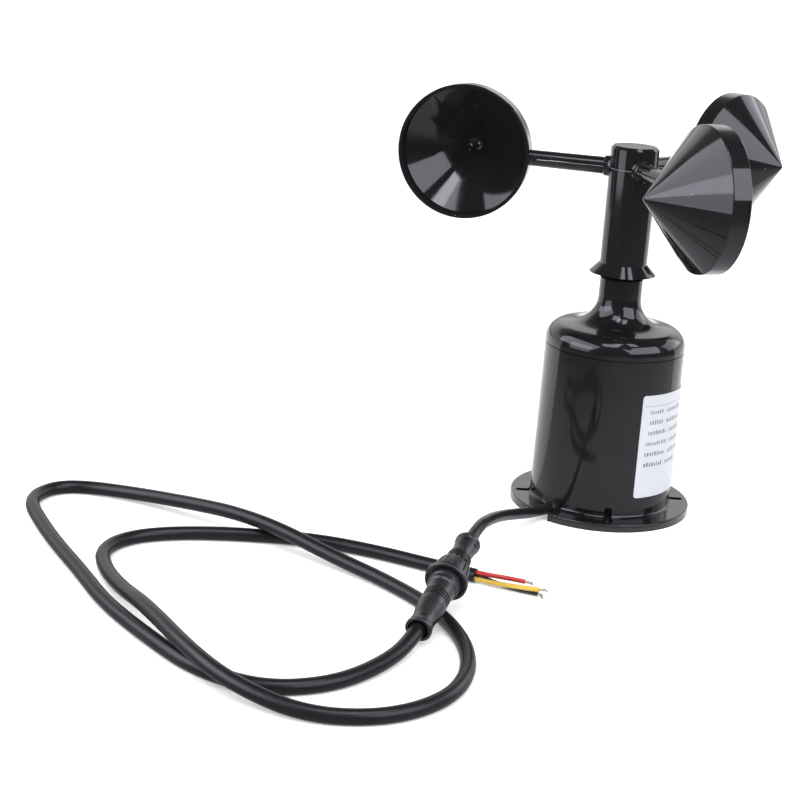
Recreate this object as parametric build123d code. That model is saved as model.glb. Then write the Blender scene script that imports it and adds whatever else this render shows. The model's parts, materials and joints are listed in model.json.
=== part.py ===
from build123d import *
import os
from math import atan2, cos, pi, radians, sin, tan

os.makedirs("parts", exist_ok=True)

# Cup anemometer. Millimetres, +Z up. Origin: centre of the foot flange's underside.
# +X and -Y run through two of the four flange slots.

# --- foot flange and body shell
FLANGE_R = 41.5
FLANGE_T = 3.66
BODY_FOOT_R = 32.46
BODY_TOP_R = 31.85
BODY_BORE_R = 29.4
SEAM_Z = 76.3
FOOT_FILLET = 1.5
SEAM_GROOVE = 0.2
SEAM_DEPTH = 0.4
SLOT_AZIMUTHS = (0, 90, 180, 270)
SLOT_W = 3.5
SLOT_LENGTH = 7.8
SLOT_R = 35.4
SLOT_GROOVE_TOP = 8.6
SLOT_GROOVE_FLOOR_R = 30.2

# --- cable outlet in the wall
OUTLET_AZ = -135.5
OUTLET_Z = 4.4
OUTLET_R = 3.1
FLANGE_NOTCH_W = 7.0
PIGTAIL_R = 2.5
EXTENSION_R = 3.0

# --- dome cover
DOME_CORNER_Z = 84.9
DOME_TOP_Z = 88.0
DOME_SHOULDER_R = 7.5
NECK_R = 9.75
NECK_SWEEP_R = 12.5
NECK_CHAMFER_Z = 107.6
NECK_TOP_Z = 109.2
DOME_SCREW_AZIMUTHS = (60, 180, 300)
DOME_SCREW_R = 24.5
EAR_Z = (68.0, 72.0)

# --- spindle and 5 x 16 x 5 bearings
SPINDLE_R = 2.5
SPINDLE_Z = (55.0, 153.6)
BEARING_R = 8.0
BEARING_W = 5.0
LOWER_BEARING_Z = 84.0
UPPER_BEARING_Z = 101.4
BALL_R = 1.375
BALL_PITCH_R = 5.25
BALL_COUNT = 7
RACE_CLEARANCE = 0.12

# --- rotor
HUB_BOTTOM_R = 10.65
HUB_TOP_R = 10.81
HUB_SKIRT_R = 15.05
HUB_SKIRT_Z = (110.0, 114.6)
ARM_Z = 157.4
HUB_TOP_Z = 167.4
HUB_BORE_R = 6.2
ARM_ROOT_R = 3.85
ARM_END_R = 3.65
ARM_AZIMUTHS = (165.07, 285.07, 45.07)
CUP_CENTRE = 76.84
CUP_R = 30.39
CUP_RIM = 4.45
CUP_BAND = 8.06
CUP_CONE = 25.23
CUP_WALL = 1.69

# --- electronics and base
BOARD_Z = (50.0, 51.6)
BOARD_R = 28.6
BOARD_SCREW_AZIMUTHS = (0, 120, 240)
BOARD_SCREW_R = 25.0
BASE_Z = (0.6, 2.8)
BASE_R = 29.2
BASE_SCREW_AZIMUTHS = (30, 150, 270)
BASE_SCREW_R = 24.5
CARRIER_Z = (60.0, 64.0)
MAGNET_R = 2.0
MAGNET_PITCH_R = 6.5

# --- nameplate
PLATE_AZ = (-70.5, 36.0)
PLATE_Z = (13.0, 61.0)
PLATE_T = 0.25

# --- inline connector: its axis runs from the male tail to the female end
CONNECTOR_TAIL = Vector(-68.8, -120.5, 21.0)
CONNECTOR_END = Vector(-89.3, -177.9, 7.0)
CONNECTOR_AXIS = (CONNECTOR_END - CONNECTOR_TAIL).normalized()
PIN_PITCH_R = 2.2

# --- cord routes, as corner points; the scene repeats them
PIGTAIL_ROUTE = [
    (-20.6, -20.2, 4.4), (-31, -30.4, 3.8), (-42.3, -47.9, 8.5), (-51.8, -68.1, 14.5),
    (-58.4, -87.8, 19.6), (-64.5, -108.6, 23.9), (-70.1, -124.2, 20.1),
]
EXTENSION_ROUTE = [
    (-86.6, -170.2, 8.9), (-92.2, -186, 5), (-104.5, -204.5, 3.2), (-121, -220, 3),
    (-144, -226, 3), (-168, -213, 3), (-188, -188, 3), (-208, -159, 3), (-222, -129, 3),
    (-237, -100, 3), (-248, -75, 3), (-255, -57, 3), (-254.5, -44, 3), (-247, -33.5, 3),
    (-233.5, -31.5, 3), (-212, -39, 4), (-188, -54.5, 7), (-166, -71, 9.8),
    (-146, -87, 9.8), (-122, -104, 5), (-101, -121, 3), (-82.3, -146, 3), (-71.5, -174, 3),
    (-70.5, -203, 3), (-80, -227, 3), (-101, -243, 3), (-128, -244, 3), (-151, -233, 6.5),
    (-168, -217, 9.8), (-190, -176, 9.8), (-203, -149, 5), (-213, -125, 3),
    (-217, -106, 3), (-208, -89.5, 3), (-187, -81, 3), (-159, -79, 3), (-130, -80.5, 3),
    (-104, -90, 3), (-84, -100.5, 3), (-63.8, -110.2, 3),
]
CORE_R = 0.95
STRAND_R = 0.6
CORE_ROUTES = {
    "red": [(-55.5, -112.1, 4.05), (-49.6, -113.3, 3.8), (-43.9, -114.9, 3.5)],
    "yellow": [(-56, -115.5, 2.3), (-47.5, -119.6, 3.0), (-38.8, -122.9, 3.6)],
    "black": [(-54.5, -113.6, 1.3), (-47, -118.3, 1.1), (-39.2, -121.5, 1.3)],
}
CORE_SEATS = {"red": (0.4, 1.35), "yellow": (-0.75, -1.1), "black": (1.15, -0.55)}
TIP_LENGTH = 3.6

UP = (Align.CENTER, Align.CENTER, Align.MIN)


def turned(points, arc=360):
    """Solid turned about Z from (radius, height) corner points."""
    face = make_face(Plane.XZ * Polyline(*points, close=True))
    return revolve(face, axis=Axis.Z, revolution_arc=arc)


def rod(radius, bottom, top):
    return Pos(0, 0, bottom) * Cylinder(radius, top - bottom, align=UP)


def ring(inner, outer, bottom, top):
    return turned([(inner, bottom), (outer, bottom), (outer, top), (inner, top)])


def at(azimuth, radius=0.0, height=0.0):
    """Place something drawn at the origin on an azimuth, its +X pointing outward."""
    return Rot(0, 0, azimuth) * Pos(radius, 0, height)


def lug(azimuth, inner, outer, width, bottom, top):
    """Radial block, rounded towards the axis."""
    middle = (inner + outer) / 2
    block = Pos(middle, 0, bottom) * Box(outer - inner, width, top - bottom, align=UP)
    nose = Pos(inner, 0, bottom) * Cylinder(width / 2, top - bottom, align=UP)
    return Rot(0, 0, azimuth) * (block + nose)


def arch(half_width, foot, height_centre, start, end):
    """Round-topped opening along +X, from start to end."""
    top = Pos(start, 0, height_centre) * Rot(0, 90, 0) * Cylinder(half_width, end - start, align=UP)
    legs = Pos((start + end) / 2, 0, foot) * Box(
        end - start, 2 * half_width, height_centre - foot, align=UP)
    return top + legs


def along_connector(solid):
    """Move something drawn along +Z from the origin onto the connector's axis."""
    side = CONNECTOR_AXIS.cross(Vector(0, 0, 1)).normalized()
    return Plane(origin=CONNECTOR_TAIL, x_dir=side, z_dir=CONNECTOR_AXIS).location * solid


def corner_radii(route):
    """Largest tangent arc at each corner: 0.45 of the shorter run over tan(half turn)."""
    radii = []
    for before, corner, after in zip(route, route[1:], route[2:]):
        run_in = Vector(*corner) - Vector(*before)
        run_out = Vector(*after) - Vector(*corner)
        half_turn = radians(run_in.get_angle(run_out)) / 2
        radii.append(0.45 * min(run_in.length, run_out.length) / tan(half_turn))
    return radii


def tube(name, route, radius):
    """Round tube along straight runs joined by tangent arcs."""
    radii = corner_radii(route)
    path = FilletPolyline(*route, radius=radii)
    start = Vector(*route[0])
    heading = Vector(*route[1]) - start
    section = Plane(origin=start, z_dir=heading) * Circle(radius)
    solid = sweep(section, path=path)
    expected = pi * radius**2 * path.length
    print(f"{name}: length {path.length:.1f}, volume {solid.volume:.0f} of {expected:.0f},",
          "radii", [round(value) for value in radii])
    return solid


def body_radius(height):
    """Outer wall radius of the slightly tapered body."""
    share = (height - FLANGE_T) / (SEAM_Z - FLANGE_T)
    return BODY_FOOT_R + (BODY_TOP_R - BODY_FOOT_R) * share


# ---------------------------------------------------------------- housing


def body_shell():
    shell = turned([
        (BODY_BORE_R, 0), (FLANGE_R, 0), (FLANGE_R, FLANGE_T), (BODY_FOOT_R, FLANGE_T),
        (BODY_TOP_R, SEAM_Z - SEAM_GROOVE), (BODY_TOP_R - SEAM_DEPTH, SEAM_Z), (BODY_BORE_R, SEAM_Z),
    ])
    circles = shell.edges().filter_by(GeomType.CIRCLE)
    foot = circles.filter_by(lambda e: abs(e.radius - BODY_FOOT_R) < 0.01 and e.center().Z > 1)
    shell = fillet(foot, FOOT_FILLET)
    circles = shell.edges().filter_by(GeomType.CIRCLE)
    rim = circles.filter_by(lambda e: abs(e.radius - FLANGE_R) < 0.01 and e.center().Z > 1)
    shell = fillet(rim, 0.5)
    for azimuth in DOME_SCREW_AZIMUTHS:
        shell += lug(azimuth, DOME_SCREW_R, BODY_BORE_R + 0.6, 8, *EAR_Z)
    for azimuth in BOARD_SCREW_AZIMUTHS:
        shell += lug(azimuth, BOARD_SCREW_R, BODY_BORE_R + 0.6, 7, BOARD_Z[0] - 7, BOARD_Z[0])
    for azimuth in BASE_SCREW_AZIMUTHS:
        shell += lug(azimuth, BASE_SCREW_R, BODY_BORE_R + 0.6, 7, BASE_Z[1], BASE_Z[1] + 9)
    for azimuth in DOME_SCREW_AZIMUTHS:
        shell -= at(azimuth, DOME_SCREW_R) * rod(1.7, EAR_Z[0] - 1, EAR_Z[1] + 1)
    for azimuth in BOARD_SCREW_AZIMUTHS:
        shell -= at(azimuth, BOARD_SCREW_R) * rod(1.25, BOARD_Z[0] - 8, BOARD_Z[0] + 1)
    for azimuth in BASE_SCREW_AZIMUTHS:
        shell -= at(azimuth, BASE_SCREW_R) * rod(1.5, BASE_Z[1] - 1, BASE_Z[1] + 7)
    for azimuth in SLOT_AZIMUTHS:
        slot = extrude(SlotOverall(SLOT_LENGTH, SLOT_W), FLANGE_T + 2)
        shell -= at(azimuth, SLOT_R, -1) * slot
        groove_centre = SLOT_GROOVE_TOP - SLOT_W / 2
        shell -= Rot(0, 0, azimuth) * arch(
            SLOT_W / 2, FLANGE_T, groove_centre, SLOT_GROOVE_FLOOR_R, SLOT_R)
    shell -= Rot(0, 0, OUTLET_AZ) * arch(OUTLET_R, -1, OUTLET_Z, BODY_BORE_R - 1, BODY_FOOT_R + 1)
    notch_length = FLANGE_R - BODY_FOOT_R + 2
    notch = Pos(BODY_FOOT_R + notch_length / 2, 0, -1) * Box(
        notch_length, FLANGE_NOTCH_W, FLANGE_T + 2, align=UP)
    return shell - Rot(0, 0, OUTLET_AZ) * notch


def base_plate():
    bottom, top = BASE_Z
    plate = turned([
        (0, bottom), (BASE_R, bottom), (BASE_R, 1.2), (28, 1.2), (28, 2.3), (BASE_R, 2.3),
        (BASE_R, top), (0, top),
    ])
    for azimuth in BASE_SCREW_AZIMUTHS:
        sink = turned([(0, 0), (3.0, 0), (1.6, 1.4), (1.6, 3), (0, 3)])
        plate -= at(azimuth, BASE_SCREW_R, bottom) * sink
    return plate - Rot(0, 0, OUTLET_AZ) * Pos(BASE_R, 0, 0) * Box(3.4, 9.2, 8)


def base_seal():
    """Sealing cord in the plate's edge groove; both ends meet the grommet."""
    cord = ring(28.02, BODY_BORE_R - 0.03, 1.22, 2.28)
    return cord - Rot(0, 0, OUTLET_AZ) * Pos(BASE_R, 0, 0) * Box(5, 9.0, 8)


def base_screws():
    screw = turned([(0, 0), (2.9, 0), (1.45, 1.4), (1.45, 7.5), (0, 7.5)])
    screw -= Pos(0, 0, -0.1) * Box(0.8, 3.6, 1.0, align=UP)
    screw -= Pos(0, 0, -0.1) * Box(3.6, 0.8, 1.0, align=UP)
    return Compound([at(azimuth, BASE_SCREW_R, BASE_Z[0] + 0.02) * screw
                     for azimuth in BASE_SCREW_AZIMUTHS])


def cable_grommet():
    inner = BODY_BORE_R - 0.05
    stem = arch(OUTLET_R - 0.05, 0.6, OUTLET_Z, inner - 1, BODY_FOOT_R + 0.5)
    collar = Pos(inner - 1.2, 0, OUTLET_Z) * Rot(0, 90, 0) * Cylinder(4.2, 1.2, align=UP)
    collar = collar & rod(inner, 0.3, 12)
    start = Vector(*PIGTAIL_ROUTE[0])
    along_pigtail = Plane(origin=start, z_dir=Vector(*PIGTAIL_ROUTE[1]) - start).location
    nose = along_pigtail * turned([
        (0, 3.9), (3.42, 3.9), (3.42, 5.0), (3.1, 5.1), (3.1, 5.5), (3.4, 5.6), (3.36, 6.4),
        (3.05, 6.5), (3.05, 6.9), (3.3, 7.0), (3.1, 7.9), (0, 7.9)])
    bore = along_pigtail * Cylinder(PIGTAIL_R + 0.02, 20)
    return Rot(0, 0, OUTLET_AZ) * (stem + collar) + nose - bore


def nameplate():
    low, high = PLATE_Z
    gap = 0.02
    plate = turned([
        (body_radius(low) + gap, low), (body_radius(low) + gap + PLATE_T, low),
        (body_radius(high) + gap + PLATE_T, high), (body_radius(high) + gap, high),
    ], PLATE_AZ[1] - PLATE_AZ[0])
    plate = fillet(plate.edges().filter_by(lambda e: e.length < 2 * PLATE_T), 1.5)
    return Rot(0, 0, PLATE_AZ[0]) * plate


def dome_cover():
    skin = FilletPolyline(
        (BODY_TOP_R, SEAM_Z + SEAM_GROOVE), (BODY_TOP_R, DOME_CORNER_Z), (NECK_R, DOME_TOP_Z),
        (NECK_R, NECK_CHAMFER_Z), radius=[DOME_SHOULDER_R, NECK_SWEEP_R])
    rest = Polyline(
        (NECK_R, NECK_CHAMFER_Z), (NECK_R - 1.6, NECK_TOP_Z), (7.4, NECK_TOP_Z), (7.4, 115.5),
        (5.7, 115.5), (5.7, NECK_TOP_Z), (4, NECK_TOP_Z), (4, 106.5), (BEARING_R, 106.5),
        (BEARING_R, 83.9), (8.7, 83.9), (8.7, 82.6), (BEARING_R, 82.6), (BEARING_R, 80),
        (10.5, 80), (10.5, 84.9), (25.2, 82.9), (27.2, 80.5), (27.2, 72.5), (29.2, 72.5),
        (29.2, 74), (27.85, 74), (27.85, 75.6), (29.2, 75.6), (29.2, SEAM_Z),
        (BODY_TOP_R - SEAM_DEPTH, SEAM_Z), (BODY_TOP_R, SEAM_Z + SEAM_GROOVE))
    dome = revolve(make_face(Plane.XZ * (skin + rest)), axis=Axis.Z)
    for azimuth in DOME_SCREW_AZIMUTHS:
        dome += at(azimuth, DOME_SCREW_R) * rod(3, EAR_Z[1] + 0.05, 83.5)
    for azimuth in DOME_SCREW_AZIMUTHS:
        dome -= at(azimuth, DOME_SCREW_R) * rod(1.5, EAR_Z[1] - 1, 80)
    return dome


def housing_seal():
    return ring(27.87, BODY_BORE_R - 0.03, 74.05, 75.55)


def pan_screw(head_r, head_h, shank_r, length):
    """Cross-recessed screw: head below z 0, shank up to its length."""
    screw = rod(head_r, -head_h, 0) + rod(shank_r, 0, length)
    recess = Pos(0, 0, -head_h) * Box(head_r, 0.7, 1.6)
    return screw - recess - Rot(0, 0, 90) * recess


def dome_screws():
    screw = pan_screw(2.75, 1.8, 1.47, 11)
    return Compound([at(azimuth, DOME_SCREW_R, EAR_Z[0]) * screw
                     for azimuth in DOME_SCREW_AZIMUTHS])


# ---------------------------------------------------------------- bearings and spindle


def ball_groove(bottom):
    """Ring-shaped space that the balls run in."""
    return Pos(0, 0, bottom + BEARING_W / 2) * Torus(BALL_PITCH_R, BALL_R + RACE_CLEARANCE)


def outer_race(bottom):
    race = ring(6.2, BEARING_R - 0.02, bottom, bottom + BEARING_W)
    return race - ball_groove(bottom)


def inner_race(bottom):
    race = ring(SPINDLE_R + 0.02, 4.3, bottom, bottom + BEARING_W)
    return race - ball_groove(bottom)


def balls_and_cage(bottom):
    middle = bottom + BEARING_W / 2
    cage = ring(4.75, 5.75, middle - 1.95, middle + 1.95)
    balls = []
    for index in range(BALL_COUNT):
        azimuth = 360 * index / BALL_COUNT
        pocket = Pos(3, 0, 0) * Rot(0, 90, 0) * Cylinder(BALL_R + 0.1, 5, align=UP)
        cage -= at(azimuth, 0, middle) * pocket
        balls.append(at(azimuth, BALL_PITCH_R, middle) * Sphere(BALL_R))
    return Compound([cage] + balls)


def bearing_spacer():
    return ring(6.6, BEARING_R - 0.05, LOWER_BEARING_Z + BEARING_W + 0.05, UPPER_BEARING_Z - 0.05)


def bearing_circlip():
    """Internal retaining ring in the bore groove below the lower bearing."""
    clip = ring(7.1, 8.65, 82.7, 83.8)
    lugs = Pos(6.9, 0, 83.25) * Box(2.2, 5.0, 1.1)
    return clip + lugs - Pos(7, 0, 83.25) * Box(5, 2.0, 3)


def spindle():
    bottom, top = SPINDLE_Z
    return turned([
        (0, bottom), (2.1, bottom), (SPINDLE_R, bottom + 0.5), (SPINDLE_R, 83.0), (2.1, 83.0),
        (2.1, 83.7), (SPINDLE_R, 83.7), (SPINDLE_R, 106.45), (3.5, 106.45), (3.5, 109.5),
        (SPINDLE_R, 109.5), (SPINDLE_R, top - 0.4), (2.1, top), (0, top),
    ])


def spindle_clip():
    clip = ring(2.12, 4.1, 83.05, 83.65)
    return clip - Pos(3, 0, 83.35) * Box(4, 3.0, 2)


# ---------------------------------------------------------------- rotor


def arm_axis_rod(radius, start, end):
    """Rod on the height of the arms, along +X."""
    return Pos(start, 0, ARM_Z) * Rot(0, 90, 0) * Cylinder(radius, end - start, align=UP)


def root_collar():
    """Flared collar that clasps an arm where it leaves the hub, along +X."""
    flare = turned([(0, 9.8), (5.1, 9.8), (4.7, 10.9), (4.55, 12.6), (4.2, 13.0), (0, 13.0)])
    return Pos(0, 0, ARM_Z) * Rot(0, 90, 0) * flare


def arm_socket():
    """Room for an arm and its locking disc in the clamped hub, along +X."""
    return arm_axis_rod(ARM_ROOT_R + 0.03, 5.5, 14) + arm_axis_rod(4.95, 6.55, 8.05)


def rotor_hub():
    low, high = HUB_SKIRT_Z
    hub = turned([
        (SPINDLE_R + 0.02, 109.55), (4.8, 109.55), (4.8, 145), (8.4, 145), (8.4, 113.4),
        (14.1, low), (HUB_SKIRT_R, low), (HUB_BOTTOM_R, high), (10.78, ARM_Z - 0.12),
        (10.66, ARM_Z), (HUB_BORE_R, ARM_Z), (HUB_BORE_R, 148), (SPINDLE_R + 0.02, 148),
    ])
    for azimuth in (0, 120, 240):
        hub += at(azimuth, 6.6, 126) * Box(4.2, 1.6, 20, align=UP)
    lower_half = Pos(0, 0, ARM_Z) * Box(60, 60, 30, align=(Align.CENTER, Align.CENTER, Align.MAX))
    for azimuth in ARM_AZIMUTHS:
        hub += Rot(0, 0, azimuth) * (root_collar() & lower_half) - rod(HUB_BORE_R, 140, 170)
    for azimuth in ARM_AZIMUTHS:
        hub -= Rot(0, 0, azimuth) * arm_socket()
    return hub


def hub_cap():
    parting = ARM_Z + 0.03
    cap = turned([
        (0, 154.6), (HUB_BORE_R - 0.05, 154.6), (HUB_BORE_R - 0.05, parting), (10.78, parting),
        (HUB_TOP_R, HUB_TOP_Z - 1.2), (HUB_TOP_R - 1.2, HUB_TOP_Z), (0, HUB_TOP_Z),
    ])
    upper_half = Pos(0, 0, parting) * Box(60, 60, 30, align=UP)
    for azimuth in ARM_AZIMUTHS:
        cap += Rot(0, 0, azimuth) * (root_collar() & upper_half) - rod(7, 140, parting)
    for azimuth in ARM_AZIMUTHS:
        cap -= Rot(0, 0, azimuth) * arm_socket()
    return cap


def hub_washer():
    return ring(SPINDLE_R + 0.1, 5.4, 148.02, 149.0)


def hub_nut():
    nut = extrude(RegularPolygon(8 / 2 / cos(pi / 6), 6), 4)
    return Pos(0, 0, 149.02) * (nut - rod(SPINDLE_R, -1, 5))


def cup():
    """Conical cup with a short cylindrical band, turned about Z, open side up at CUP_RIM."""
    junction = CUP_RIM - CUP_BAND
    apex = junction - CUP_CONE
    slope = CUP_R / CUP_CONE
    inner_r = CUP_R - CUP_WALL
    inner_apex = apex + 1.6 / sin(atan2(CUP_R, CUP_CONE))
    inner_junction = inner_apex + inner_r / slope
    skin = FilletPolyline((CUP_R, CUP_RIM - 0.3), (CUP_R, junction), (1.0, apex + 1.0 / slope),
                          (0, apex + 0.5), radius=[0.6, 1.0])
    rest = Polyline(
        (0, apex + 0.5), (0, inner_apex), (inner_r, inner_junction), (inner_r, CUP_RIM - 0.3),
        (29.3, CUP_RIM - 0.3), (29.3, CUP_RIM), (CUP_R - 0.3, CUP_RIM), (CUP_R, CUP_RIM - 0.3))
    return revolve(make_face(Plane.XZ * (skin + rest)), axis=Axis.Z)


def cup_arm(azimuth):
    arm = turned([(0, 6.5), (ARM_ROOT_R, 6.5), (ARM_ROOT_R, 14), (ARM_END_R, 47.6), (0, 47.6)])
    arm += ring(1, 4.9, 6.6, 8.0)
    arm = Pos(0, 0, ARM_Z) * Rot(0, 90, 0) * arm
    bowl = Pos(CUP_CENTRE, 0, ARM_Z) * Rot(-90, 0, 0) * cup()
    return Rot(0, 0, azimuth) * (arm + bowl)


# ---------------------------------------------------------------- sensor


def magnet_carrier():
    low, high = CARRIER_Z
    carrier = turned([
        (SPINDLE_R + 0.02, 56), (4.2, 56), (4.2, low), (9, low), (9, high), (SPINDLE_R + 0.02, high),
    ])
    for azimuth in (45, 135, 225, 315):
        carrier -= at(azimuth, MAGNET_PITCH_R) * rod(MAGNET_R + 0.03, low - 1, low + 3)
    return carrier - Pos(0, 0, 58) * Rot(0, 90, 0) * Cylinder(1.0, 6, align=UP)


def magnets():
    disc = rod(MAGNET_R, CARRIER_Z[0] + 0.05, CARRIER_Z[0] + 2.95)
    return Compound([at(azimuth, MAGNET_PITCH_R) * disc for azimuth in (45, 135, 225, 315)])


def carrier_screw():
    screw = Rot(0, 90, 0) * (rod(0.97, 2.55, 4.1) - rod(0.45, 3.3, 5))
    return Pos(0, 0, 58) * screw


def circuit_board():
    board = rod(BOARD_R, *BOARD_Z)
    for azimuth in DOME_SCREW_AZIMUTHS:
        board -= lug(azimuth, DOME_SCREW_R, BODY_BORE_R, 9, BOARD_Z[0] - 1, BOARD_Z[1] + 1)
    for azimuth in BOARD_SCREW_AZIMUTHS:
        board -= at(azimuth, BOARD_SCREW_R) * rod(1.4, BOARD_Z[0] - 1, BOARD_Z[1] + 1)
    return board


def board_screws():
    screw = Rot(180, 0, 0) * pan_screw(2.3, 1.5, 1.22, 7.5)
    return Compound([at(azimuth, BOARD_SCREW_R, BOARD_Z[1]) * screw
                     for azimuth in BOARD_SCREW_AZIMUTHS])


def chip(x, y, length, width, height, pins):
    """Small package on the board's top face, with a row of legs on both long sides."""
    top = BOARD_Z[1]
    body = Pos(x, y, top + 0.15) * Box(length, width, height, align=UP)
    for index in range(pins):
        place = x + (index - (pins - 1) / 2) * length / pins
        leg = Pos(place, y, top + 0.02) * Box(0.4, width + 1.6, 0.4, align=UP)
        body += leg
    return body


def hall_sensor():
    return at(45) * chip(MAGNET_PITCH_R, 0, 3.0, 2.6, 1.3, 3)


def board_components():
    """Controller, driver, capacitors and a crystal, each a separate solid."""
    solids = [chip(0, -14, 9, 5.4, 1.8, 8), chip(-14, 8, 5, 4, 1.6, 4), chip(14, 10, 5, 4, 1.6, 4)]
    for x, y, radius, height in ((-9, -4, 2.5, 5), (12, -6, 2.0, 4.5)):
        solids.append(Pos(x, y, 0) * rod(radius, BOARD_Z[1] + 0.02, BOARD_Z[1] + height))
    for index in range(5):
        solids.append(Pos(-8 + 4 * index, 17, BOARD_Z[1] + 0.02) * Box(2.0, 1.25, 0.7, align=UP))
    return Compound(solids)


def terminal_block():
    """Three-way screw terminal below the board; wires enter from underneath."""
    block = Pos(-8, -8, BOARD_Z[0] - 8.02) * Box(14, 7.5, 8, align=UP)
    for index in range(3):
        x = -8 + 4.4 * (index - 1)
        block -= Pos(x, -9.5, BOARD_Z[0] - 9) * Cylinder(1.1, 6, align=UP)
        block -= Pos(x, -6.2, BOARD_Z[0] - 9) * Cylinder(1.3, 2.5, align=UP)
    return block


def inner_lead(index):
    """Insulated core from the pigtail's cut end up to its terminal."""
    start = Vector(*PIGTAIL_ROUTE[0])
    inward = (start - Vector(*PIGTAIL_ROUTE[1])).normalized()
    spread = Vector(inward.Y, -inward.X, 0).normalized() * (1.6 * (index - 1))
    terminal = Vector(-8 + 4.4 * (index - 1), -9.5, BOARD_Z[0] - 7)
    route = [start + spread, start + spread + inward * 7, Vector(terminal.X, -9.5, 16), terminal]
    return tube(f"inner lead {index + 1}", [tuple(point) for point in route], 0.7)


# ---------------------------------------------------------------- inline connector


def connector_male_body():
    body = turned([
        (0, 4.05), (2.9, 4.05), (2.9, 0), (4.9, 0), (5.2, 0.4), (5.2, 1.6), (4.85, 2.6),
        (4.5, 5.5), (4.3, 8.2), (4.45, 10.6), (4.7, 11.2), (4.7, 17.2), (4.55, 17.4),
        (4.55, 23.5), (5.6, 23.5), (5.6, 25), (4.3, 25), (4.3, 35.3), (0, 35.3),
    ])
    for offset in (12.2, 13.6, 15.0, 16.4):
        body += ring(4.5, 5.0, offset, offset + 0.6)
    for azimuth in range(-95, 265, 60):
        body -= at(azimuth, 4.5, 4) * Box(1.6, 2.0, 0.9)
    for azimuth in range(45, 405, 90):
        body -= at(azimuth, PIN_PITCH_R) * rod(0.55, 30, 36)
    return along_connector(body)


def connector_pins():
    """Four contact pins, seated in the male insert and reaching into the sockets."""
    pin = rod(0.5, 30.1, 40.5)
    return Compound([along_connector(at(azimuth, PIN_PITCH_R) * pin)
                     for azimuth in range(45, 405, 90)])


def connector_sockets():
    """Four contact sleeves in the female insert."""
    sleeve = ring(0.52, 0.85, 35.7, 41)
    return Compound([along_connector(at(azimuth, PIN_PITCH_R) * sleeve)
                     for azimuth in range(45, 405, 90)])


def coupling_nut():
    """Flared nut with grip grooves; its inner step bears on the male body's flange."""
    nut = turned([
        (4.8, 17.6), (5.8, 17.6), (6.3, 18.2), (6.9, 20.2), (7.4, 23), (7.8, 26.6),
        (8.3, 27.1), (8.6, 27.5), (8.6, 29), (8.3, 29.4), (7.4, 29.4), (7.4, 28.6),
        (5.85, 28.6), (5.85, 23.3), (4.8, 23.3),
    ])
    for azimuth in range(0, 360, 20):
        nut -= at(azimuth, 6.45, 18) * Rot(0, 10, 0) * Cylinder(0.5, 8.4, align=UP)
    return along_connector(nut)


def connector_seal():
    return along_connector(ring(4.35, 5.5, 25.05, 26.65))


def connector_female_body():
    body = turned([
        (4.4, 26.7), (5.65, 26.7), (5.65, 29.8), (6.5, 29.8), (6.5, 31.6), (6.1, 32),
        (6.1, 34.2), (5.6, 35), (5.35, 38), (5.35, 40.2), (4.95, 40.35), (4.95, 41),
        (5.35, 41.15), (5.35, 41.8), (4.95, 41.95), (4.95, 42.6), (5.35, 42.75), (5.35, 43.4),
        (4.95, 43.55), (4.95, 44.2), (5.4, 44.4), (5.45, 47.5), (5.1, 51), (4.6, 54.5),
        (4.5, 56.5), (4.85, 59.5), (5.2, 61), (5.2, 61.9), (5, 62.2), (4.1, 62.2), (4.1, 58.8),
        (3.1, 58.8), (3.1, 54.1), (0, 54.1), (0, 35.5), (4.4, 35.5),
    ])
    for azimuth in range(45, 405, 90):
        body -= at(azimuth, PIN_PITCH_R) * rod(0.87, 34, 41.2)
    for azimuth in range(-27, 333, 72):
        body -= at(azimuth, 4.6, 57.6) * Box(1.6, 2.0, 1.0)
    return along_connector(body)


# ---------------------------------------------------------------- core ends


def core_route(colour):
    """Straight out of the jacket's cut face, then the hand-laid points."""
    end = Vector(*EXTENSION_ROUTE[-1])
    outward = (end - Vector(*EXTENSION_ROUTE[-2])).normalized()
    side = Vector(-outward.Y, outward.X, 0).normalized()
    across, lift = CORE_SEATS[colour]
    start = end + side * across + Vector(0, 0, lift)
    return [tuple(start), tuple(start + outward * 3.5)] + CORE_ROUTES[colour]


def core_wire(colour):
    return tube(f"core {colour}", core_route(colour), CORE_R)


def wire_tips():
    """Tinned strands that stand out of each core's insulation."""
    tips = []
    for colour in CORE_ROUTES:
        before, end = (Vector(*point) for point in CORE_ROUTES[colour][-2:])
        heading = (end - before).normalized()
        strand = Plane(origin=end, z_dir=heading) * Circle(STRAND_R)
        tips.append(extrude(strand, TIP_LENGTH, dir=heading))
    return Compound(tips)


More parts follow.
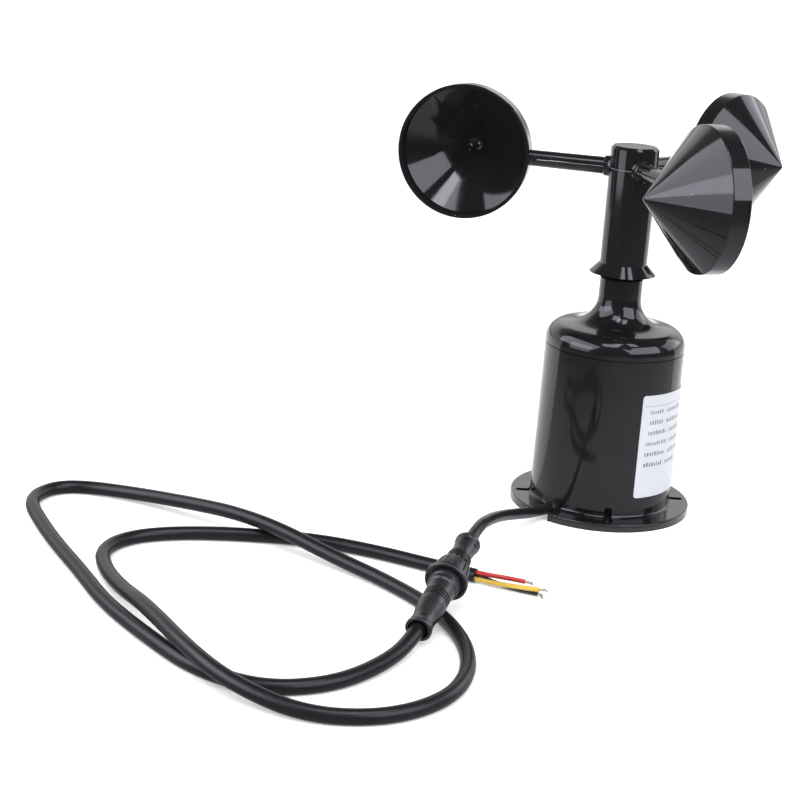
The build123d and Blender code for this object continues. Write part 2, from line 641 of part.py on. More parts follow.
PARTS = {
    "body_shell": body_shell,
    "base_plate": base_plate,
    "base_seal": base_seal,
    "base_screws": base_screws,
    "cable_grommet": cable_grommet,
    "nameplate": nameplate,
    "dome_cover": dome_cover,
    "dome_screws": dome_screws,
    "housing_seal": housing_seal,
    "lower_bearing_outer_race": lambda: outer_race(LOWER_BEARING_Z),
    "lower_bearing_inner_race": lambda: inner_race(LOWER_BEARING_Z),
    "lower_bearing_cage": lambda: balls_and_cage(LOWER_BEARING_Z),
    "upper_bearing_outer_race": lambda: outer_race(UPPER_BEARING_Z),
    "upper_bearing_inner_race": lambda: inner_race(UPPER_BEARING_Z),
    "upper_bearing_cage": lambda: balls_and_cage(UPPER_BEARING_Z),
    "bearing_spacer": bearing_spacer,
    "bearing_circlip": bearing_circlip,
    "spindle": spindle,
    "spindle_clip": spindle_clip,
    "rotor_hub": rotor_hub,
    "hub_cap": hub_cap,
    "hub_washer": hub_washer,
    "hub_nut": hub_nut,
    "magnet_carrier": magnet_carrier,
    "magnets": magnets,
    "carrier_screw": carrier_screw,
    "circuit_board": circuit_board,
    "board_screws": board_screws,
    "hall_sensor": hall_sensor,
    "board_components": board_components,
    "terminal_block": terminal_block,
    "connector_male_body": connector_male_body,
    "connector_pins": connector_pins,
    "connector_sockets": connector_sockets,
    "coupling_nut": coupling_nut,
    "connector_seal": connector_seal,
    "connector_female_body": connector_female_body,
    "wire_tips": wire_tips,
    "pigtail_cable": lambda: tube("pigtail", PIGTAIL_ROUTE, PIGTAIL_R),
    "extension_cable": lambda: tube("extension", EXTENSION_ROUTE, EXTENSION_R),
}

for name, make in PARTS.items():
    export_step(make(), f"parts/{name}.step")
for number, azimuth in enumerate(ARM_AZIMUTHS, start=1):
    export_step(cup_arm(azimuth), f"parts/cup_arm_{number}.step")
for number in range(3):
    export_step(inner_lead(number), f"parts/inner_lead_{number + 1}.step")
for colour in CORE_ROUTES:
    export_step(core_wire(colour), f"parts/wire_{colour}.step")
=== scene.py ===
import json
import math
import random

import bmesh
import bpy
from mathutils import Matrix, Vector


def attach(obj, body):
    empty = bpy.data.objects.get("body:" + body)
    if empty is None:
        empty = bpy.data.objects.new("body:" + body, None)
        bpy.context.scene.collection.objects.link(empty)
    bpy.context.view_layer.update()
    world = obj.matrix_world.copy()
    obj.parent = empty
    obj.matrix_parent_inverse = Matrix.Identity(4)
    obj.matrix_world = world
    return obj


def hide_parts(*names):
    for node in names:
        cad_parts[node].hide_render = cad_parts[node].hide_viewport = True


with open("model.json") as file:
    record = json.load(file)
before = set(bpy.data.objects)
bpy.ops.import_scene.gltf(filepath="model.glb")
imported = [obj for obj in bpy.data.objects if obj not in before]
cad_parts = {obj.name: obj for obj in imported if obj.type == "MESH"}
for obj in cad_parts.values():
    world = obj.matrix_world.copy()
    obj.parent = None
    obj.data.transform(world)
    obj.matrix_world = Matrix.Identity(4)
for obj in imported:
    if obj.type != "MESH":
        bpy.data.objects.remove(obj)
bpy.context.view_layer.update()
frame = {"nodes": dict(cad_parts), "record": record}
MM = 0.001
random.seed(7)


def metres(*point):
    """A point that is given in millimetres."""
    return Vector(point) * MM


def add_object(name, data):
    """Put an object that holds this data into the scene."""
    added = bpy.data.objects.new(name, data)
    bpy.context.scene.collection.objects.link(added)
    return added


def add_mesh(name, mesh, material):
    """Turn a bmesh into an object with one material."""
    data = bpy.data.meshes.new(name)
    mesh.to_mesh(data)
    mesh.free()
    data.materials.append(material)
    return add_object(name, data)


# ---------------------------------------------------------------- camera

# The place is in metres and the angles are in degrees.
CAMERA_PLACE = (-0.1208, -0.7822, 0.2724)
CAMERA_HEADING = 1.79
CAMERA_PITCH = 16.31
CAMERA_ROLL = 4.07
LENS_MM = 79.48
FILM_WIDTH_MM = 36


def make_camera():
    """Slightly above the part, looking down past the cups, with the horizon tilted a little."""
    heading, pitch, roll = (math.radians(angle)
                            for angle in (CAMERA_HEADING, CAMERA_PITCH, CAMERA_ROLL))
    ahead = Vector((math.sin(heading) * math.cos(pitch), math.cos(heading) * math.cos(pitch),
                    -math.sin(pitch)))
    side = Vector((math.cos(heading), -math.sin(heading), 0))
    up = side.cross(ahead)
    right = side * math.cos(roll) + up * math.sin(roll)
    top = up * math.cos(roll) - side * math.sin(roll)
    turn = Matrix((right, top, -ahead)).transposed()
    data = bpy.data.cameras.new("camera")
    data.sensor_width = FILM_WIDTH_MM
    data.lens = LENS_MM
    data.clip_end = 100
    camera = add_object("camera", data)
    camera.matrix_world = Matrix.Translation(CAMERA_PLACE) @ turn.to_4x4()
    bpy.context.scene.camera = camera


make_camera()

# ---------------------------------------------------------------- cords

PIGTAIL_R = 2.5
EXTENSION_R = 3.0
PIGTAIL_ROUTE = [
    (-20.6, -20.2, 4.4), (-31, -30.4, 3.8), (-42.3, -47.9, 8.5), (-51.8, -68.1, 14.5),
    (-58.4, -87.8, 19.6), (-64.5, -108.6, 23.9), (-70.1, -124.2, 20.1),
]
EXTENSION_ROUTE = [
    (-86.6, -170.2, 8.9), (-92.2, -186, 5), (-104.5, -204.5, 3.2), (-121, -220, 3),
    (-144, -226, 3), (-168, -213, 3), (-188, -188, 3), (-208, -159, 3), (-222, -129, 3),
    (-237, -100, 3), (-248, -75, 3), (-255, -57, 3), (-254.5, -44, 3), (-247, -33.5, 3),
    (-233.5, -31.5, 3), (-212, -39, 4), (-188, -54.5, 7), (-166, -71, 9.8),
    (-146, -87, 9.8), (-122, -104, 5), (-101, -121, 3), (-82.3, -146, 3), (-71.5, -174, 3),
    (-70.5, -203, 3), (-80, -227, 3), (-101, -243, 3), (-128, -244, 3), (-151, -233, 6.5),
    (-168, -217, 9.8), (-190, -176, 9.8), (-203, -149, 5), (-213, -125, 3),
    (-217, -106, 3), (-208, -89.5, 3), (-187, -81, 3), (-159, -79, 3), (-130, -80.5, 3),
    (-104, -90, 3), (-84, -100.5, 3), (-63.8, -110.2, 3),
]


def add_spline(data, route):
    """Add a smooth line whose control points are the route, given in millimetres."""
    spline = data.splines.new("NURBS")
    spline.points.add(len(route) - 1)
    for control, point in zip(spline.points, route):
        control.co = (*metres(*point), 1)
    spline.order_u = 3
    spline.use_endpoint_u = True


def nurbs_tube(name, route, radius, round_segments=5):
    """Smooth round cord along one route, with flat ends."""
    data = bpy.data.curves.new(name, "CURVE")
    data.dimensions = "3D"
    data.resolution_u = 12
    data.bevel_depth = radius * MM
    data.bevel_resolution = round_segments
    data.use_fill_caps = True
    add_spline(data, route)
    return add_object(name, data)


pigtail = nurbs_tube("pigtail", PIGTAIL_ROUTE, PIGTAIL_R)
extension = nurbs_tube("extension_lead", EXTENSION_ROUTE, EXTENSION_R)

# ---------------------------------------------------------------- core wires

WIRE_R = 0.95
WIRE_STRAIGHT = 3.5
WIRE_COLOURS = ("red", "yellow", "black")
WIRE_ROUTES = {
    "red": [(-55.5, -112.1, 4.05), (-49.6, -113.3, 3.8), (-43.9, -114.9, 3.5)],
    "yellow": [(-56, -115.5, 2.3), (-47.5, -119.6, 3.0), (-38.8, -122.9, 3.6)],
    "black": [(-54.5, -113.6, 1.3), (-47, -118.3, 1.1), (-39.2, -121.5, 1.3)],
}
# How far each core starts to the side of the cut face's middle, and above it.
WIRE_SEATS = {"red": (0.4, 1.35), "yellow": (-0.75, -1.1), "black": (1.15, -0.55)}


def wire_route(colour):
    """Straight out of the jacket's cut face, then the laid points."""
    end = Vector(EXTENSION_ROUTE[-1])
    outward = (end - Vector(EXTENSION_ROUTE[-2])).normalized()
    side = Vector((-outward.y, outward.x, 0)).normalized()
    across, lift = WIRE_SEATS[colour]
    start = end + side * across + Vector((0, 0, lift))
    straight = start + outward * WIRE_STRAIGHT
    return [start, straight] + [Vector(point) for point in WIRE_ROUTES[colour]]


wires = {colour: nurbs_tube(f"core_{colour}", wire_route(colour), WIRE_R, 3)
         for colour in WIRE_COLOURS}

STRANDS = 7
MIDDLE_STRAND = STRANDS - 1
STRAND_R = 0.2
STRAND_PITCH_R = 0.41
STRAND_LENGTH = 3.6
STRAND_UNEVEN = (0.9, 1.05)
STRAND_STEPS = (-0.15, 0.3, 0.65, 1.0)
STRAND_ANGLE = 360 / MIDDLE_STRAND
STRAND_TWIST = 50
STRAND_SPLAY = 0.3
STRAND_DROOP = {"red": 0.1, "yellow": 0.05, "black": 0.75}
DROOP_DOWN = 0.35


def strand_points(colour, number):
    """One tinned strand of a core's bare end: six lie round the middle one, as in a rope."""
    before, end = wire_route(colour)[-2:]
    ahead = (end - before).normalized()
    side = ahead.cross(Vector((0, 0, 1))).normalized()
    lift = side.cross(ahead)
    reach = STRAND_LENGTH * random.uniform(*STRAND_UNEVEN)
    pitch = 0 if number == MIDDLE_STRAND else STRAND_PITCH_R
    points = []
    for step in STRAND_STEPS:
        bare = max(step, 0)
        turn = math.radians(STRAND_ANGLE * number + STRAND_TWIST * step)
        out = pitch * (1 + STRAND_SPLAY * bare)
        sag = STRAND_DROOP[colour] * bare ** 2
        bent = (ahead + side * sag - Vector((0, 0, DROOP_DOWN * sag))).normalized()
        points.append(end + bent * reach * step + side * out * math.cos(turn)
                      + lift * out * math.sin(turn))
    return [Vector((x, y, max(z, STRAND_R))) for x, y, z in points]


def wire_strands():
    """The bare ends of all three cores, as one piece; none dips into the table."""
    first = (WIRE_COLOURS[0], MIDDLE_STRAND)
    bundle = nurbs_tube("wire_strands", strand_points(*first), STRAND_R, 2)
    for colour in WIRE_COLOURS:
        for number in range(STRANDS):
            if (colour, number) != first:
                add_spline(bundle.data, strand_points(colour, number))
    return bundle


strands = wire_strands()

# ---------------------------------------------------------------- materials

# A noise seldom leaves these two levels, so its whole effect is spread between them.
NOISE_LOW, NOISE_HIGH = 0.3, 0.7


def set_ramp(ramp, steps):
    """Give a ramp these steps, each a position and a colour; a new ramp has two already."""
    for _ in steps[2:]:
        ramp.elements.new(0.5)
    for element, (position, colour) in zip(ramp.elements, steps):
        element.position = position
        element.color = (*colour, 1)


class Nodes:
    """Short way to build one material's node tree."""

    def __init__(self, name):
        self.material = bpy.data.materials.new(name)
        self.material.use_nodes = True
        self.tree = self.material.node_tree
        self.shader = self.tree.nodes["Principled BSDF"]
        self.place = self.add("ShaderNodeTexCoord").outputs["Object"]

    def add(self, kind, **settings):
        node = self.tree.nodes.new(kind)
        for key, value in settings.items():
            setattr(node, key, value)
        return node

    def link(self, source, target):
        self.tree.links.new(source, target)

    def noise(self, scale, detail=3.0, rough=0.55, stretch=None):
        node = self.add("ShaderNodeTexNoise")
        node.inputs["Scale"].default_value = scale
        node.inputs["Detail"].default_value = detail
        node.inputs["Roughness"].default_value = rough
        source = self.place
        if stretch:
            mapping = self.add("ShaderNodeMapping")
            mapping.inputs["Scale"].default_value = stretch
            self.link(source, mapping.inputs["Vector"])
            source = mapping.outputs["Vector"]
        self.link(source, node.inputs["Vector"])
        return node.outputs["Fac"]

    def spread(self, source, low, high):
        """Map a noise onto a range of values."""
        node = self.add("ShaderNodeMapRange")
        node.inputs["From Min"].default_value = NOISE_LOW
        node.inputs["From Max"].default_value = NOISE_HIGH
        node.inputs["To Min"].default_value = low
        node.inputs["To Max"].default_value = high
        self.link(source, node.inputs["Value"])
        return node.outputs["Result"]

    def blend(self, source, steps):
        """Map a value onto a ramp of colours."""
        node = self.add("ShaderNodeValToRGB")
        set_ramp(node.color_ramp, steps)
        self.link(source, node.inputs["Fac"])
        return node.outputs["Color"]

    def colours(self, source, first, second):
        """Map a noise onto two colours and what lies between them."""
        return self.blend(source, ((NOISE_LOW, first), (NOISE_HIGH, second)))

    def specks(self, density, size, share):
        """Mask of sparse round specks: their size against a cell, and the share that has one."""
        cells = self.add("ShaderNodeTexVoronoi")
        cells.inputs["Scale"].default_value = density
        self.link(self.place, cells.inputs["Vector"])
        near = self.add("ShaderNodeMath", operation="LESS_THAN")
        near.inputs[1].default_value = size
        self.link(cells.outputs["Distance"], near.inputs[0])
        pick = self.add("ShaderNodeMath", operation="GREATER_THAN")
        pick.inputs[1].default_value = 1 - share
        self.link(cells.outputs["Color"], pick.inputs[0])
        mask = self.add("ShaderNodeMath", operation="MULTIPLY")
        self.link(near.outputs["Value"], mask.inputs[0])
        self.link(pick.outputs["Value"], mask.inputs[1])
        return mask.outputs["Value"]

    def over(self, below, mask, colour):
        """Lay one flat colour over another through a mask."""
        mix = self.add("ShaderNodeMix", data_type="RGBA")
        sockets = {socket.identifier: socket for socket in (*mix.inputs, *mix.outputs)}
        self.link(mask, sockets["Factor_Float"])
        self.link(below, sockets["A_Color"])
        sockets["B_Color"].default_value = (*colour, 1)
        return sockets["Result_Color"]

    def bump(self, source, strength, distance):
        node = self.add("ShaderNodeBump")
        node.inputs["Strength"].default_value = strength
        node.inputs["Distance"].default_value = distance * MM
        self.link(source, node.inputs["Height"])
        self.link(node.outputs["Normal"], self.shader.inputs["Normal"])

    def finish(self, **values):
        """Set the shader's plain values, with underscores for spaces in their names."""
        for key, value in values.items():
            self.shader.inputs[key.replace("_", " ")].default_value = value
        return self.material


DUST_COLOUR = (0.32, 0.32, 0.33)
CLOUD_GRAIN = 60


def shade(name, first, second, rough, grain, bump, distance, metallic=0.0, stretch=None,
          dust=None, **more):
    """Material whose roughness has a fine grain and whose colour has a broad cloudiness."""
    nodes = Nodes(name)
    fine = nodes.noise(grain, 4.0, 0.6, stretch)
    broad = nodes.noise(CLOUD_GRAIN, 2.0)
    colour = nodes.colours(broad, first, second)
    if dust:
        colour = nodes.over(colour, nodes.specks(*dust), DUST_COLOUR)
    nodes.link(colour, nodes.shader.inputs["Base Color"])
    nodes.link(nodes.spread(fine, *rough), nodes.shader.inputs["Roughness"])
    nodes.bump(fine, bump, distance)
    return nodes.finish(Metallic=metallic, **more)


MATERIALS = {
    "housing_plastic": shade("black_abs", (0.006, 0.006, 0.0068), (0.009, 0.009, 0.010),
                             (0.06, 0.12), 900, 0.08, 0.02, IOR=1.43,
                             dust=(260, 0.055, 0.12)),
    "rotor_plastic": shade("gloss_abs", (0.0075, 0.0075, 0.0085), (0.010, 0.010, 0.0112),
                           (0.05, 0.10), 700, 0.06, 0.02, IOR=1.43,
                           dust=(300, 0.065, 0.16)),
    "connector_plastic": shade("nylon", (0.010, 0.010, 0.0112), (0.015, 0.015, 0.017),
                               (0.26, 0.42), 2200, 0.4, 0.04, Specular_IOR_Level=0.4),
    "cable_jacket": shade("pvc_jacket", (0.005, 0.005, 0.006), (0.008, 0.008, 0.0095),
                          (0.28, 0.40), 1500, 0.20, 0.03, Specular_IOR_Level=0.25),
    "label_film": shade("label_film", (0.49, 0.505, 0.55), (0.53, 0.545, 0.59),
                        (0.28, 0.38), 1200, 0.05, 0.01),
    "seal_rubber": shade("rubber", (0.004, 0.004, 0.0045), (0.007, 0.007, 0.0075),
                         (0.30, 0.45), 1500, 0.3, 0.03, Specular_IOR_Level=0.3),
    "bearing_steel": shade("bearing_steel", (0.58, 0.58, 0.59), (0.66, 0.66, 0.67),
                           (0.10, 0.18), 2000, 0.08, 0.005, 1.0),
    "stainless_steel": shade("stainless_steel", (0.50, 0.50, 0.51), (0.60, 0.60, 0.61),
                             (0.22, 0.34), 2600, 0.15, 0.01, 1.0, (1, 1, 12)),
    "brass_contact": shade("brass_contact", (0.74, 0.53, 0.24), (0.83, 0.64, 0.32),
                           (0.18, 0.28), 2500, 0.1, 0.01, 1.0),
    "cage_steel": shade("cage_steel", (0.42, 0.42, 0.43), (0.52, 0.52, 0.53),
                        (0.20, 0.32), 2500, 0.1, 0.01, 1.0),
    "magnet_nickel": shade("nickel", (0.60, 0.59, 0.56), (0.66, 0.65, 0.62),
                           (0.08, 0.16), 2000, 0.06, 0.005, 1.0),
    "board_laminate": shade("solder_mask", (0.010, 0.10, 0.045), (0.018, 0.14, 0.06),
                            (0.20, 0.34), 1800, 0.15, 0.02),
    "chip_epoxy": shade("chip_epoxy", (0.018, 0.018, 0.018), (0.03, 0.03, 0.03),
                        (0.5, 0.65), 2500, 0.2, 0.02),
    "terminal_plastic": shade("terminal_plastic", (0.03, 0.20, 0.09), (0.04, 0.26, 0.12),
                              (0.3, 0.42), 1500, 0.12, 0.02),
    "core_red": shade("core_red", (0.38, 0.014, 0.014), (0.47, 0.022, 0.020),
                      (0.26, 0.38), 1800, 0.12, 0.02),
    "core_yellow": shade("core_yellow", (0.52, 0.34, 0.03), (0.60, 0.40, 0.05),
                         (0.26, 0.38), 1800, 0.12, 0.02),
    "core_black": shade("core_black", (0.012, 0.012, 0.012), (0.02, 0.02, 0.02),
                        (0.26, 0.38), 1800, 0.12, 0.02),
    "tinned_copper": shade("tinned_copper", (0.62, 0.60, 0.56), (0.74, 0.70, 0.64),
                           (0.2, 0.34), 3000, 0.2, 0.02, 1.0),
}
# The flash line's colour runs from near black to pale grey: a painted glint, lighter than the
# black plastic it is made of.
flash_painted_glint = shade("flash_painted_glint", (0.02, 0.02, 0.022), (0.30, 0.30, 0.31), (0.18, 0.35),
                      2600, 0.4, 0.05)
label_ink = shade("label_ink", (0.16, 0.16, 0.17), (0.24, 0.24, 0.25), (0.4, 0.5),
                  1500, 0.1, 0.01)


def paint(obj, slot):
    """Give a piece the material of a slot."""
    obj.data.materials.clear()
    obj.data.materials.append(MATERIALS[slot])


for part in frame["record"]["subparts"]:
    paint(frame["nodes"][part["node"]], part["material_slot"])

paint(pigtail, "cable_jacket")
paint(extension, "cable_jacket")
for colour, wire in wires.items():
    paint(wire, f"core_{colour}")
    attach(wire, "root")
    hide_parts(f"wire_{colour}")
paint(strands, "tinned_copper")
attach(strands, "root")
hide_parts("wire_tips")
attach(pigtail, "root")
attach(extension, "root")
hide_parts("pigtail_cable")
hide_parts("extension_cable")

# ---------------------------------------------------------------- label print

BODY_FOOT_R, BODY_TOP_R = 32.46, 31.85
BODY_FOOT_Z, BODY_TOP_Z = 3.66, 76.3
PRINT_STANDOFF = 0.28
# The rule runs between two azimuths and two heights. A row has its height, the azimuth where
# it starts, and the number of blocks in each of its two words.
PRINT_RULE = (-67.7, 33.5, 55.9, 56.15)
PRINT_ROWS = ((52.2, -62.0, 6, 11), (47.3, -62.4, 6, 9), (42.5, -63.0, 8, 12),
              (37.5, -63.8, 10, 9), (32.5, -64.4, 9, 13), (27.5, -64.4, 8, 7))
PRINT_HEIGHT = 1.9
BLOCK_WIDTH = 1.7
BLOCK_GAP = 1.0
WORD_GAP = 4.0
BLOCK_UNEVEN = (0.6, 1.15)
HEIGHT_UNEVEN = (0.75, 1.1)
SLICE_ANGLE = 3


def label_point(azimuth, height):
    """Place just off the label, at an azimuth in degrees and a height in millimetres."""
    share = (height - BODY_FOOT_Z) / (BODY_TOP_Z - BODY_FOOT_Z)
    radius = BODY_FOOT_R + (BODY_TOP_R - BODY_FOOT_R) * share + PRINT_STANDOFF
    azimuth = math.radians(azimuth)
    return metres(radius * math.cos(azimuth), radius * math.sin(azimuth), height)


def label_block(mesh, start, end, low, high):
    """Patch that follows the label's curve between two azimuths and two heights."""
    slices = max(1, round((end - start) / SLICE_ANGLE))
    edges = [start + (end - start) * index / slices for index in range(slices + 1)]
    pairs = [(mesh.verts.new(label_point(edge, low)), mesh.verts.new(label_point(edge, high)))
             for edge in edges]
    for left, right in zip(pairs, pairs[1:]):
        mesh.faces.new((left[0], right[0], right[1], left[1]))


def make_label_print():
    """Generic print: one rule and six rows of word-like blocks, without lettering."""
    mesh = bmesh.new()
    label_block(mesh, *PRINT_RULE)
    for height, azimuth, *words in PRINT_ROWS:
        for blocks in words:
            for _ in range(blocks):
                width = BLOCK_WIDTH * random.uniform(*BLOCK_UNEVEN)
                tall = PRINT_HEIGHT * random.uniform(*HEIGHT_UNEVEN)
                label_block(mesh, azimuth, azimuth + width, height, height + tall)
                azimuth += width + BLOCK_GAP
            azimuth += WORD_GAP
    label = add_mesh("label_print", mesh, label_ink)
    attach(label, "root")


make_label_print()

# ---------------------------------------------------------------- mould flash

# How far the line strays out from the surface, and up from the parting plane.
FLASH_R = 0.17
FLASH_STAND = (-0.10, 0.05)
FLASH_RISE = (-0.12, 0.12)
FIRST_ARM_AZIMUTH = 165.07
ARM_AZIMUTHS = [FIRST_ARM_AZIMUTH + 120 * arm for arm in range(3)]
ARM_LINE_Z = 157.4
ARM_LINE_R = 3.84
ARM_LINE_TAPER = 0.004
ARM_LINE_REACH = (11.5, 43.0)
ARM_LINE_STEPS = 14
HUB_LINE_Z = 157.3
HUB_LINE_R = 10.78
HUB_LINE_STEPS = 40


def level_direction(degrees):
    """Unit vector that lies flat, at an azimuth in degrees."""
    return Vector((math.cos(math.radians(degrees)), math.sin(math.radians(degrees)), 0))


def arm_line(azimuth, sign):
    """Points along one side of an arm; its radius shrinks a little with each step."""
    out = level_direction(azimuth)
    side = Vector((-out.y, out.x, 0))
    inner, outer = ARM_LINE_REACH
    points = []
    for step in range(ARM_LINE_STEPS + 1):
        reach = inner + (outer - inner) * step / ARM_LINE_STEPS
        stand = sign * (ARM_LINE_R - ARM_LINE_TAPER * step + random.uniform(*FLASH_STAND))
        rise = ARM_LINE_Z + random.uniform(*FLASH_RISE)
        points.append(out * reach + side * stand + Vector((0, 0, rise)))
    return points


def hub_line():
    """Points round the hub."""
    points = []
    for step in range(HUB_LINE_STEPS + 1):
        stand = HUB_LINE_R + random.uniform(*FLASH_STAND)
        rise = HUB_LINE_Z + random.uniform(*FLASH_RISE)
        points.append(level_direction(360 * step / HUB_LINE_STEPS) * stand
                      + Vector((0, 0, rise)))
    return points


def make_flash():
    """Uneven hair line of flash where mould halves met: along each arm's sides, round the hub;
    its pale grey colour is a painted glint.
    """
    lines = [arm_line(azimuth, sign) for azimuth in ARM_AZIMUTHS for sign in (-1, 1)]
    lines.append(hub_line())
    flash = nurbs_tube("arm_flash", lines[0], FLASH_R, 1)
    for line in lines[1:]:
        add_spline(flash.data, line)
    flash.data.materials.append(flash_painted_glint)
    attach(flash, "rotor")


make_flash()

# ---------------------------------------------------------------- floor

FLOOR_REACH = 40
FLOOR_GRAIN = 3
FLOOR_GLOW = 0.30


def make_floor():
    """White table that runs on past everything the camera sees, with a faint glow of its own."""
    nodes = Nodes("floor")
    tint = nodes.colours(nodes.noise(FLOOR_GRAIN), (0.91, 0.91, 0.91), (0.93, 0.93, 0.93))
    nodes.link(tint, nodes.shader.inputs["Base Color"])
    material = nodes.finish(Roughness=0.9, Specular_IOR_Level=0.0,
                            Emission_Color=(1, 1, 1, 1), Emission_Strength=FLOOR_GLOW)
    mesh = bmesh.new()
    mesh.faces.new([mesh.verts.new((x * FLOOR_REACH, y * FLOOR_REACH, 0))
                    for x, y in ((-1, -1), (1, -1), (1, 1), (-1, 1))])
    floor = add_mesh("floor", mesh, material)


# ---------------------------------------------------------------- light

# Places and sizes are in metres and angles in degrees.
SOFTBOX_COLOUR = (0.88, 0.89, 1.0)
LIGHT_MIDDLE = Vector((0, 0, 0.1))
FLAG_INNER, FLAG_OUTER = 0.046, 2.2
FLAG_LIFT = 0.0004
FLAG_WALL_TOP = 1.3
FLAG_HALF_TURN = 104
FLAG_SLICES = 52
FLAG_MIDDLE = (0.09, 0, 0)
FLAG_TINT = (0.98, 0.975, 1.06)
FLAG_STEPS = ((0.0, 0.95), (0.20, 0.90), (0.30, 0.66), (0.42, 0.28), (0.7, 0.13), (1.0, 0.10))


def only_in_reflections(obj):
    """Leave a light or a surface to be seen by the gloss alone."""
    obj.visible_camera = False
    obj.visible_diffuse = False
    obj.visible_transmission = False
    obj.visible_volume_scatter = False
    obj.visible_shadow = False


def make_flag():
    """What the gloss mirrors in front of the part: a table that darkens into an unlit room.

    It is a flat fan with a wall round its far edge. Each of FLAG_STEPS is a distance from
    FLAG_MIDDLE and how bright it is there.
    """
    nodes = Nodes("flag")
    shifted = nodes.add("ShaderNodeVectorMath", operation="SUBTRACT")
    shifted.inputs[1].default_value = FLAG_MIDDLE
    nodes.link(nodes.place, shifted.inputs[0])
    distance = nodes.add("ShaderNodeVectorMath", operation="LENGTH")
    nodes.link(shifted.outputs["Vector"], distance.inputs[0])
    glow = nodes.blend(distance.outputs["Value"],
                       [(position, [grey * share for share in FLAG_TINT])
                        for position, grey in FLAG_STEPS])
    nodes.link(glow, nodes.shader.inputs["Emission Color"])
    material = nodes.finish(Base_Color=(0, 0, 0, 1), Specular_IOR_Level=0.0,
                            Emission_Strength=1.0)
    mesh = bmesh.new()
    rows = []
    lift = Vector((0, 0, FLAG_LIFT))
    top = Vector((0, 0, FLAG_WALL_TOP))
    for index in range(FLAG_SLICES + 1):
        bearing = math.radians(-FLAG_HALF_TURN + 2 * FLAG_HALF_TURN * index / FLAG_SLICES)
        out = Vector((-math.sin(bearing), -math.cos(bearing), 0))
        rows.append([mesh.verts.new(out * FLAG_INNER + lift),
                     mesh.verts.new(out * FLAG_OUTER + lift),
                     mesh.verts.new(out * FLAG_OUTER + top)])
    for near, far in zip(rows, rows[1:]):
        mesh.faces.new((near[0], near[1], far[1], far[0]))
        mesh.faces.new((near[1], near[2], far[2], far[1]))
    flag = add_mesh("flag", mesh, material)
    only_in_reflections(flag)


def from_part(bearing, elevation, distance):
    """Place seen from the part: bearing in degrees from the front (-Y) towards the left (-X)."""
    bearing, elevation = math.radians(bearing), math.radians(elevation)
    flat = distance * math.cos(elevation)
    return LIGHT_MIDDLE + Vector((-math.sin(bearing) * flat, -math.cos(bearing) * flat,
                                  distance * math.sin(elevation)))


def softbox(name, bearing, elevation, distance, size, radiance):
    """Rectangular light that only the gloss sees; its power follows from its radiance."""
    data = bpy.data.lights.new(name, "AREA")
    data.shape = "RECTANGLE"
    data.size, data.size_y = size
    data.energy = radiance * math.pi * size[0] * size[1]
    data.color = SOFTBOX_COLOUR
    light = add_object(name, data)
    light.location = from_part(bearing, elevation, distance)
    aim = LIGHT_MIDDLE - light.location
    light.rotation_euler = aim.to_track_quat("-Z", "Y").to_euler()
    only_in_reflections(light)


def sun(name, bearing, elevation, strength, spread):
    """Even light from one side that the gloss doesn't see."""
    data = bpy.data.lights.new(name, "SUN")
    data.energy = strength
    data.angle = math.radians(spread)
    light = add_object(name, data)
    aim = LIGHT_MIDDLE - from_part(bearing, elevation, 1.0)
    light.rotation_euler = aim.to_track_quat("-Z", "Y").to_euler()
    light.visible_glossy = False


WORLD_BACK_SLOPE = 0.45
WORLD_START = 0.6
WORLD_SCALE = 1 / 1.6
WORLD_STRENGTH = 1.3
WORLD_STEPS = ((-0.6, 1.0), (-0.40, 1.0), (-0.34, 0.45), (-0.28, 0.50), (-0.23, 1.0), (0.0, 1.0),
               (0.12, 0.95), (0.22, 0.30), (0.45, 0.12), (0.7, 0.05), (1.0, 0.04))


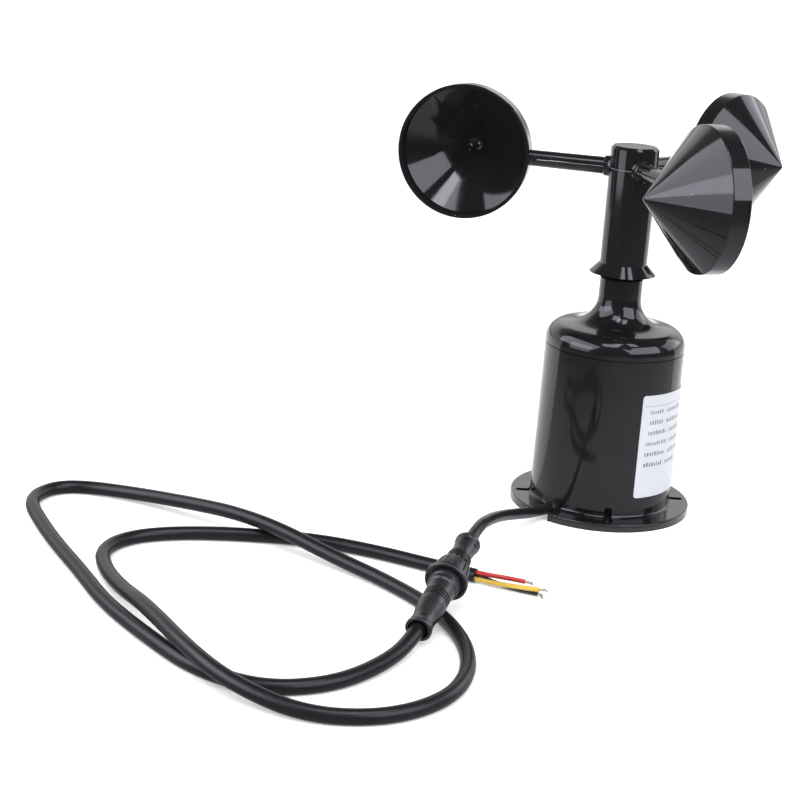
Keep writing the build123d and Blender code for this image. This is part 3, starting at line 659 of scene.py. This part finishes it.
def make_world():
    """White at the horizon and higher up behind, dim above, as in a room with a white table.

    Each step is a height on the unit sphere, less a share of how far behind it is.
    """
    world = bpy.data.worlds.new("studio")
    world.use_nodes = True
    tree = world.node_tree
    place = tree.nodes.new("ShaderNodeTexCoord")
    height = tree.nodes.new("ShaderNodeSeparateXYZ")
    behind = tree.nodes.new("ShaderNodeMath")
    behind.operation = "MAXIMUM"
    behind.inputs[1].default_value = 0
    lowered = tree.nodes.new("ShaderNodeMath")
    lowered.operation = "MULTIPLY_ADD"
    lowered.inputs[1].default_value = -WORLD_BACK_SLOPE * WORLD_SCALE
    lowered.inputs[2].default_value = WORLD_START * WORLD_SCALE
    level = tree.nodes.new("ShaderNodeMath")
    level.operation = "MULTIPLY_ADD"
    level.inputs[1].default_value = WORLD_SCALE
    ramp = tree.nodes.new("ShaderNodeValToRGB")
    set_ramp(ramp.color_ramp, [((step + WORLD_START) * WORLD_SCALE, (grey, grey, grey))
                               for step, grey in WORLD_STEPS])
    background = tree.nodes["Background"]
    background.inputs["Strength"].default_value = WORLD_STRENGTH
    for source, target in ((place.outputs["Generated"], height.inputs["Vector"]),
                           (height.outputs["Y"], behind.inputs[0]),
                           (behind.outputs["Value"], lowered.inputs[0]),
                           (height.outputs["Z"], level.inputs[0]),
                           (lowered.outputs["Value"], level.inputs[2]),
                           (level.outputs["Value"], ramp.inputs["Fac"]),
                           (ramp.outputs["Color"], background.inputs["Color"])):
        tree.links.new(source, target)
    bpy.context.scene.world = world
    bpy.context.scene.view_settings.view_transform = "Standard"


def make_light():
    """The world, the flag, six softboxes for the gloss and two suns for everything else."""
    make_world()
    make_flag()
    softbox("left_low", 66, 12, 0.66, (0.44, 0.42), 3.2)
    softbox("left_high", 78, 31, 1.2, (1.6, 0.80), 4.2)
    softbox("right_high", -45, 31, 1.2, (1.25, 0.84), 4.8)
    softbox("right_back", -112, 24, 1.2, (0.9, 0.6), 2.5)
    softbox("top_left", 8, 60, 1.2, (0.65, 0.42), 6.0)
    softbox("top_right", -29, 70, 1.2, (0.55, 0.42), 6.0)
    sun("key", 35, 55, 2.6, 60)
    sun("fill", -40, 50, 2.2, 70)


make_floor()
make_light()
